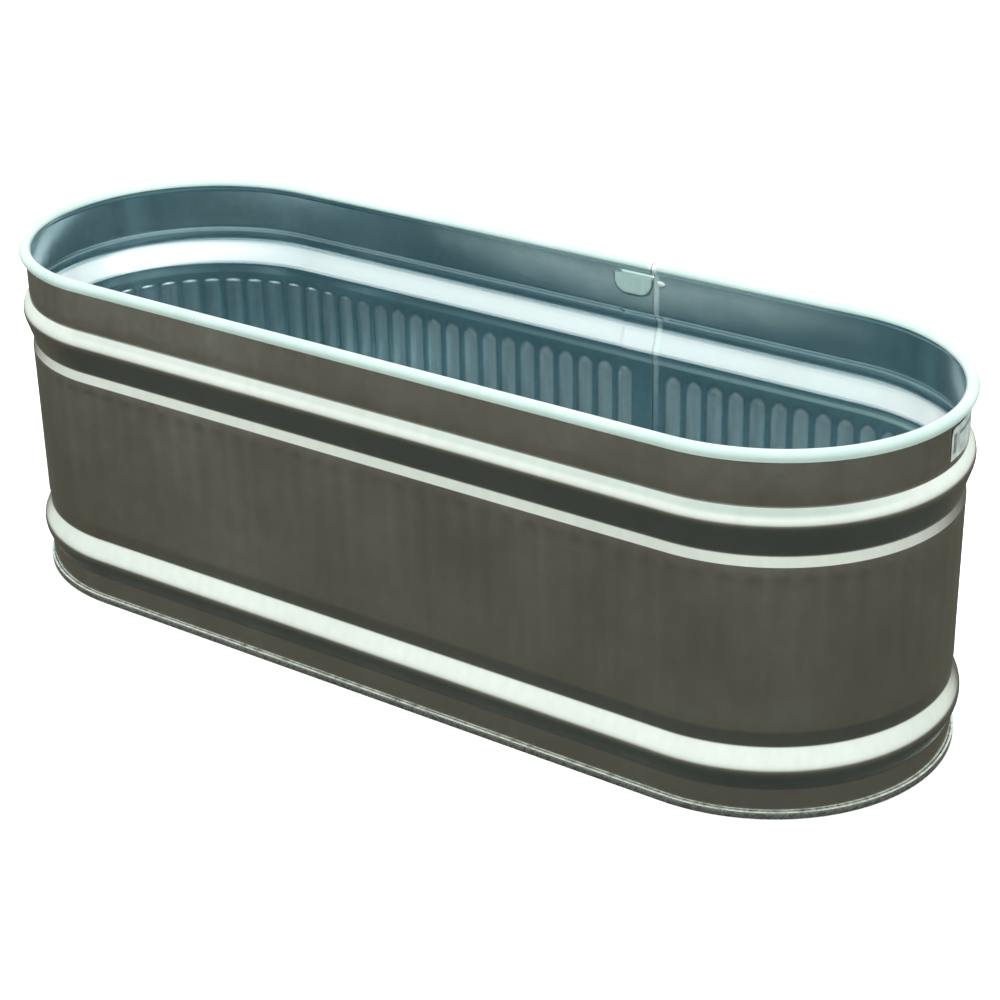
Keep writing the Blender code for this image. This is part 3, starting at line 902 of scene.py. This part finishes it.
def cloud(tree, where, scale, detail, roughness=0.5):
    """A soft noise between 0 and 1, mostly 0.3 to 0.7."""
    return add(tree, "ShaderNodeTexNoise", {
        "Vector": where, "Scale": scale, "Detail": detail, "Roughness": roughness}).outputs[0]


def rubbed_edges(tree, low, high):
    edges = add(tree, "ShaderNodeNewGeometry").outputs["Pointiness"]
    return remap(tree, edges, low, high)


def connect(tree, shader, strength, distance, height, **looks):
    """Links the shader's looks, by socket name, and a bump made from a height."""
    for socket, source in looks.items():
        tree.links.new(source, shader.inputs[socket.replace("_", " ")])
    relief = add(tree, "ShaderNodeBump", {
        "Strength": strength, "Distance": distance, "Height": height})
    tree.links.new(relief.outputs[0], shader.inputs["Normal"])


def ear_shadow(tree, across, height):
    """Share of painted shadow round the ear on the lap, a little outside the ear's rounded shape.
    It goes by length and height only, so the front wall's inside has a copy of it."""
    low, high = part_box("lap_tab")
    total = 0.0
    for socket, middle, half in ((across, (low.x + high.x) / 2, (high.x - low.x) / 2),
                                 (height, high.z, high.z - low.z)):
        away = math_node(tree, "ABSOLUTE", math_node(tree, "SUBTRACT", socket, middle))
        share = math_node(tree, "DIVIDE", away, half + EAR_SHADOW_REACH)
        total = math_node(tree, "ADD", math_node(tree, "POWER", share, 3.0), total)
    shade = remap(tree, total, 1.10, 0.90, 0.0, 0.85)
    return multiply(tree, shade, remap(tree, height, high.z, high.z - 0.004))


def sheen_share(tree, where, drift, sheen_spot):
    """Share of the paler spot, a painted reflection, at a place: a soft spot with a middle and half
    sizes.
    """
    middle, half_sizes = sheen_spot
    offset = add(tree, "ShaderNodeVectorMath", {0: where, 1: middle},
                 operation="SUBTRACT").outputs[0]
    scaled = add(tree, "ShaderNodeVectorMath", {0: offset, 1: half_sizes},
                 operation="DIVIDE").outputs[0]
    away = add(tree, "ShaderNodeVectorMath", {0: scaled}, operation="LENGTH").outputs[1]
    sheen = math_node(tree, "ADD", remap(tree, away, 1.0, 0.35),
                      remap(tree, drift, 0.3, 0.7, -0.12, 0.12), clamp=True)
    return math_node(tree, "MULTIPLY", sheen, remap(tree, away, 1.0, 0.7), clamp=True)


def mark_inside(tree, colour, axes, crest, wipes, drift, sheen):
    """The inside's painted highlights on the flute crests and beside the lap's edge, painted
    reflections in the band and the line, and painted shadow round the ear, each fixed to its place
    on the wall. Gives the new colour and how far the metal's shine drops."""
    across, depth, height = axes
    # painted highlight on the flutes' crests, weaker towards the -x end, with the metal's shine
    # dropped a little
    crest_highlight = multiply(tree, remap(tree, crest, 0.04, 0.30),
                      remap(tree, across, -0.70, -0.30, 0.35, 1.0),
                      remap(tree, wipes, 0.3, 0.7, 0.6, 1.0))
    colour = mix_colours(tree, multiply(tree, crest_highlight, 0.75), colour, CREST_HIGHLIGHT)

    # painted reflection: a pale band on the slope under the upper bead, with duller metal
    band_reflection = multiply(tree, remap(tree, height, *BAND_FOOT),
                    remap(tree, height, *reversed(BAND_TOP)))
    colour = mix_colours(tree, band_reflection, colour, BAND_REFLECTION)

    # painted highlight: a pale strip beside the lap's edge on the back wall, stronger higher up
    strip = math_node(tree, "ABSOLUTE", math_node(
        tree, "MULTIPLY_ADD", drift, 0.006, math_node(tree, "SUBTRACT", across, STRIP_X)))
    strip = multiply(tree, remap(tree, strip, *reversed(STRIP_HALF)),
                     math_node(tree, "GREATER_THAN", depth, 0.2),
                     remap(tree, height, 0.30, 0.48, 0.25, 0.8),
                     remap(tree, drift, 0.35, 0.60, 0.35, 1.0))
    colour = mix_colours(tree, strip, colour, STRIP_HIGHLIGHT)

    # painted reflection: a pale line between the upper bead and the flutes
    line = math_node(tree, "ABSOLUTE", math_node(tree, "SUBTRACT", height, LINE_Z))
    line = multiply(tree, remap(tree, line, *reversed(LINE_HALF)),
                    remap(tree, across, -0.50, 0.60, 0.10, 0.90))
    colour = mix_colours(tree, line, colour, LINE_REFLECTION)
    # painted shadow round the ear, below its top edge
    colour = mix_colours(tree, ear_shadow(tree, across, height), colour, EAR_SHADOW)

    strip = math_node(tree, "ADD", strip, multiply(tree, line, 0.6))
    dulling = multiply(tree, strip, SHEEN_DULLING)
    for share, size in ((band_reflection, BAND_REFLECTION_DULLING), (sheen, SHEEN_DULLING), (crest_highlight, CREST_HIGHLIGHT_DULLING)):
        dulling = math_node(tree, "MULTIPLY_ADD", share, size, dulling)
    return colour, dulling


def zinc(name, dark, light, roughness, crystals=0.10, streaks=0.25, bump=0.03, metal=1.0,
         sheen_spot=None):
    """Galvanised sheet: faint crystals of zinc, cloudy tone, vertical wipes, worn edges
    and grime low down, and on sheet without the spot below, painted shade in the flutes' grooves.
    The spot is the middle of a paler, duller area and its half sizes: the paler colour is a
    painted reflection, the duller metal a change of the material. Only the wall's inside has it,
    and with it the inside's painted reflections, highlights and shadow."""
    made, tree, shader = start_material(name)
    where = object_place(tree)
    cells = add(tree, "ShaderNodeTexVoronoi", {"Vector": where, "Scale": 95.0})
    cell = add(tree, "ShaderNodeSeparateColor", {"Color": cells.outputs["Color"]})
    clouds = cloud(tree, where, 5.0, 5.0, 0.6)
    stretched = add(tree, "ShaderNodeMapping", {"Vector": where, "Scale": (60, 60, 1.1)})
    wipes = cloud(tree, stretched.outputs[0], 1.0, 4.0)
    grain = cloud(tree, where, 420.0, 2.0)
    axes = add(tree, "ShaderNodeSeparateXYZ", {"Vector": where}).outputs
    crest = add(tree, "ShaderNodeAttribute", attribute_name="crest").outputs["Fac"]

    tone = multiply(tree, cell.outputs[0], crystals)
    tone = math_node(tree, "ADD", tone, remap(tree, clouds, 0.3, 0.7, 0.0, 0.9 - streaks))
    tone = math_node(tree, "ADD", tone, remap(tree, wipes, 0.3, 0.7, 0.0, streaks))
    colour = mix_colours(tree, tone, dark, light)
    rough = math_node(tree, "MULTIPLY_ADD", cell.outputs[1], 0.4 * crystals, roughness)
    rough = math_node(tree, "ADD", rough, remap(tree, clouds, 0.3, 0.7, -0.03, 0.03))
    if sheen_spot:
        drift = cloud(tree, where, 14.0, 2.0)
        sheen = sheen_share(tree, where, drift, sheen_spot)
        # painted reflection: paler colour over the soft spot
        colour = mix_colours(tree, multiply(tree, sheen, 0.5), colour, SHEEN_TONE)
        rough = math_node(tree, "MULTIPLY_ADD", sheen, 0.04, rough)

    worn = multiply(tree, rubbed_edges(tree, 0.53, 0.60), 0.6)
    colour = mix_colours(tree, worn, colour, WORN_ZINC)
    if sheen_spot:
        colour, dulling = mark_inside(tree, colour, axes, crest, wipes, drift, sheen)
    else:
        # painted shade in the flutes' grooves on the outer face
        groove_shade = tuple(0.72 * channel for channel in dark)
        colour = mix_colours(tree, multiply(tree, crest, 0.12), colour, groove_shade)

    ragged = math_node(tree, "MULTIPLY_ADD", wipes, -0.016, axes[2])
    specks = remap(tree, cloud(tree, where, 110.0, 3.0), 0.40, 0.65)
    dirty = math_node(tree, "MULTIPLY", remap(tree, ragged, GRIME_TOP, 0.0), specks, clamp=True)
    dirty = multiply(tree, dirty, 0.80)
    colour = mix_colours(tree, dirty, colour, GRIME)
    bare = math_node(tree, "MULTIPLY_ADD", dirty, -0.15, metal)
    if sheen_spot:
        bare = math_node(tree, "SUBTRACT", bare, dulling)
    connect(tree, shader, bump, 0.0006,
            math_node(tree, "MULTIPLY_ADD", cell.outputs[2], 0.3, grain),
            Base_Color=colour, Metallic=bare,
            Roughness=math_node(tree, "MULTIPLY_ADD", dirty, 0.35, rough, clamp=True))
    return made


def plated(name, colour, roughness):
    """Zinc-plated fitting: worn bright edges and dull patches."""
    made, tree, shader = start_material(name)
    where = object_place(tree)
    patches = cloud(tree, where, 160.0, 4.0)
    dull = tuple(0.62 * channel for channel in colour)
    base = mix_colours(tree, remap(tree, patches, 0.35, 0.65), dull, colour)
    base = mix_colours(tree, rubbed_edges(tree, 0.52, 0.60), base, (0.80, 0.80, 0.78))
    shader.inputs["Metallic"].default_value = 1.0
    connect(tree, shader, 0.15, 0.0004, cloud(tree, where, 900.0, 2.0), Base_Color=base,
            Roughness=remap(tree, patches, 0.3, 0.7, roughness + 0.14, roughness - 0.04))
    return made


def soft_matter(name, dark, light, roughness, scale, bump):
    """Rubber or sealant: mottled, matte and faintly pitted."""
    made, tree, shader = start_material(name)
    mottle = cloud(tree, object_place(tree), scale, 5.0)
    connect(tree, shader, bump, 0.0005, mottle,
            Base_Color=mix_colours(tree, remap(tree, mottle, 0.3, 0.7), dark, light),
            Roughness=remap(tree, mottle, 0.3, 0.7, roughness - 0.08, roughness + 0.08))
    return made


def label_paper(name):
    """Grey weathered label with two plain darker blocks and no lettering."""
    made, tree, shader = start_material(name)
    where = object_place(tree)
    low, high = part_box("label")
    mottle = cloud(tree, where, 60.0, 5.0)
    colour = mix_colours(tree, remap(tree, mottle, 0.3, 0.7),
                         (0.22, 0.24, 0.23), (0.38, 0.41, 0.39))
    across, upright = add(tree, "ShaderNodeSeparateXYZ", {"Vector": where}).outputs[1:]

    def block(start, end, foot, top):
        edges = [math_node(tree, "GREATER_THAN", across, start),
                 math_node(tree, "LESS_THAN", across, end),
                 math_node(tree, "GREATER_THAN", upright, foot),
                 math_node(tree, "LESS_THAN", upright, top)]
        return multiply(tree, *edges)

    square = block(low.y + 0.006, low.y + 0.018, low.z + 0.010, high.z - 0.010)
    line = block(low.y + 0.028, high.y - 0.010, low.z + 0.034, low.z + 0.040)
    printed = math_node(tree, "ADD", square, line, clamp=True)
    printed = multiply(tree, printed, remap(tree, mottle, 0.35, 0.5, 0.4, 0.9))
    connect(tree, shader, 0.2, 0.0004, mottle,
            Base_Color=mix_colours(tree, printed, colour, (0.08, 0.09, 0.09)),
            Roughness=remap(tree, mottle, 0.3, 0.7, 0.55, 0.75))
    return made


# ---- stage, light and camera ----
def build_floor():
    """The pale floor, which the metal doesn't mirror."""
    mesh = bmesh.new()
    bmesh.ops.create_grid(mesh, x_segments=1, y_segments=1, size=30.0)
    floor = finish_mesh("stage_floor", mesh, ())
    floor.location.z = cad_low.z - 0.0002
    made, _, shader = start_material("pale_floor")
    shader.inputs["Base Color"].default_value = (0.90, 0.90, 0.90, 1.0)
    shader.inputs["Roughness"].default_value = 1.0
    shader.inputs["Specular IOR Level"].default_value = 0.0
    floor.data.materials.append(made)
    floor.visible_glossy = False


# Tones of the surroundings by height of the direction looked in, from straight down
# (-1) to straight up (1), for light and for what the metal mirrors.
SKY_TONES = (
    (-1.00, (0.045, 0.055, 0.050)),
    (-0.83, (0.055, 0.066, 0.058)),
    (-0.61, (0.066, 0.074, 0.064)),
    (-0.53, (0.103, 0.100, 0.078)),
    (-0.34, (0.108, 0.102, 0.080)),
    (-0.30, (0.150, 0.152, 0.130)),
    (-0.24, (0.550, 0.580, 0.540)),
    (-0.16, (0.960, 1.040, 0.980)),
    (0.00, (1.080, 1.210, 1.150)),
    (0.15, (1.200, 1.340, 1.290)),
    (0.45, (1.320, 1.430, 1.390)),
    (0.80, (0.850, 1.050, 1.000)),
    (1.00, (0.750, 0.960, 0.920)),
)
SKY_PEAK = 1.5                  # above the brightest tone, so that the ramp stays under 1


def build_world():
    """The surroundings: a ramp of tones from below to above."""
    world = bpy.data.worlds.new("soft_studio")
    bpy.context.scene.world = world
    world.use_nodes = True
    tree = world.node_tree
    direction = add(tree, "ShaderNodeTexCoord").outputs["Generated"]
    upright = add(tree, "ShaderNodeSeparateXYZ", {"Vector": direction}).outputs[2]
    ramp = add(tree, "ShaderNodeValToRGB", {"Fac": remap(tree, upright, -1.0, 1.0)})
    stops = ramp.color_ramp.elements
    while len(stops) < len(SKY_TONES):
        stops.new(0.5)
    for stop, (height, tone) in zip(stops, SKY_TONES):
        stop.position = (height + 1) / 2
        stop.color = (*(channel / SKY_PEAK for channel in tone), 1.0)
    backdrop = tree.nodes["Background"]
    tree.links.new(ramp.outputs[0], backdrop.inputs["Color"])
    backdrop.inputs["Strength"].default_value = SKY_PEAK


def build_lamp():
    lamp = bpy.data.lights.new("overhead_softbox", "AREA")
    lamp.shape = "RECTANGLE"
    lamp.size = 5.0
    lamp.size_y = 4.0
    lamp.energy = 300.0
    holder = bpy.data.objects.new("overhead_softbox", lamp)
    holder.location = (0.0, 0.0, 4.0)
    holder.visible_glossy = False
    bpy.context.scene.collection.objects.link(holder)


CAMERA_AZIMUTH = math.radians(35.72)
CAMERA_ELEVATION = math.radians(25.53)
CAMERA_ROLL = math.radians(-1.05)
CAMERA_DISTANCE = 4.034
CAMERA_SIDE = 0.059             # aim, to the right of the tank's middle
CAMERA_DROP = -0.059
AIM_Z = 0.30
CAMERA_LENS = 85.25             # millimetres, on a 36 mm sensor


def build_camera():
    sine, cosine = math.sin(CAMERA_AZIMUTH), math.cos(CAMERA_AZIMUTH)
    level = math.cos(CAMERA_ELEVATION)
    back = Vector((sine * level, -cosine * level, math.sin(CAMERA_ELEVATION)))
    right = Vector((cosine, sine, 0.0))
    up = back.cross(right)
    rolled_right = right * math.cos(CAMERA_ROLL) + up * math.sin(CAMERA_ROLL)
    rolled_up = up * math.cos(CAMERA_ROLL) - right * math.sin(CAMERA_ROLL)
    data = bpy.data.cameras.new("camera")
    data.lens = CAMERA_LENS
    data.sensor_width = 36.0
    camera = bpy.data.objects.new("camera", data)
    turn = Matrix((rolled_right, rolled_up, back)).transposed().to_4x4()
    where = (back * CAMERA_DISTANCE + rolled_right * CAMERA_SIDE
             + rolled_up * CAMERA_DROP + Vector((0, 0, AIM_Z)))
    camera.matrix_world = Matrix.Translation(where) @ turn
    bpy.context.scene.collection.objects.link(camera)
    bpy.context.scene.camera = camera


def attach(piece, body, node):
    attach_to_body(piece, body)
    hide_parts(node)


# The drain's axis meets the wall's flat at this point of its outer face.
washer_low, washer_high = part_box("spud_outer_washer")
DRAIN = Vector((washer_high.x + FIT_GAP, 0.0, (washer_low.z + washer_high.z) / 2))
FLAT_R = -DRAIN.x - HALF_STRAIGHT - SHEET / 2


def main():
    outside = zinc("zinc_outside", (0.63, 0.63, 0.59), (0.74, 0.74, 0.70), 0.20, 0.06, 0.30)
    # The teal tints of the inside, rim, floor and ear colours are a painted reflection of a blue
    # sky.
    inside = zinc("zinc_inside", (0.38, 0.52, 0.57), (0.50, 0.64, 0.69), 0.18, 0.08,
                  metal=0.97, sheen_spot=((0.14, UPPER_BAND_R, 0.590), (0.56, 0.10, 0.085)))
    rim = zinc("zinc_rim", (0.38, 0.46, 0.43), (0.50, 0.59, 0.56), 0.40, 0.08, 0.1, metal=0.3)
    floor_zinc = zinc("zinc_floor", (0.25, 0.33, 0.36), (0.36, 0.44, 0.47), 0.30, 0.12)
    tab_zinc = zinc("zinc_tab", (0.58, 0.78, 0.74), (0.84, 0.98, 0.94), 0.34, 0.30, metal=0.60)
    steel = zinc("tube_steel", (0.35, 0.35, 0.34), (0.50, 0.50, 0.49), 0.40)
    weld = zinc("weld_metal", (0.85, 0.90, 0.88), (1.00, 1.00, 1.00), 0.34, metal=0.40)
    fitting = plated("fitting_plate", (0.62, 0.63, 0.60), 0.36)
    plug_metal = plated("plug_plate", (0.66, 0.66, 0.62), 0.33)
    rubber = soft_matter("gasket_rubber", (0.018, 0.018, 0.018), (0.05, 0.05, 0.048),
                         0.72, 500.0, 0.25)
    sealant = soft_matter("seam_sealant", (0.33, 0.34, 0.33), (0.52, 0.53, 0.52),
                          0.55, 140.0, 0.30)

    attach(build_wall(outside, inside, rim), "tank", "side_wall")
    attach(build_rim_core(steel), "tank", "rim_tube")
    attach(build_pan(floor_zinc, outside), "tank", "bottom_pan")
    attach(build_sealant(sealant), "tank", "bottom_sealant")
    attach(build_tab(tab_zinc), "tank", "lap_tab")
    attach(build_weld(weld), "tank", "rim_weld")
    attach(build_label(label_paper("label_paper")), "tank", "label")

    bodies = {"plug_gasket": "plug_seal", "drain_plug": "plug"}
    for node, piece in build_drain(fitting, plug_metal, rubber).items():
        attach(piece, bodies.get(node, "tank"), node)

    build_floor()
    build_world()
    build_lamp()
    build_camera()
    settings = bpy.context.scene.view_settings
    settings.view_transform = "Standard"
    settings.look = "None"


main()
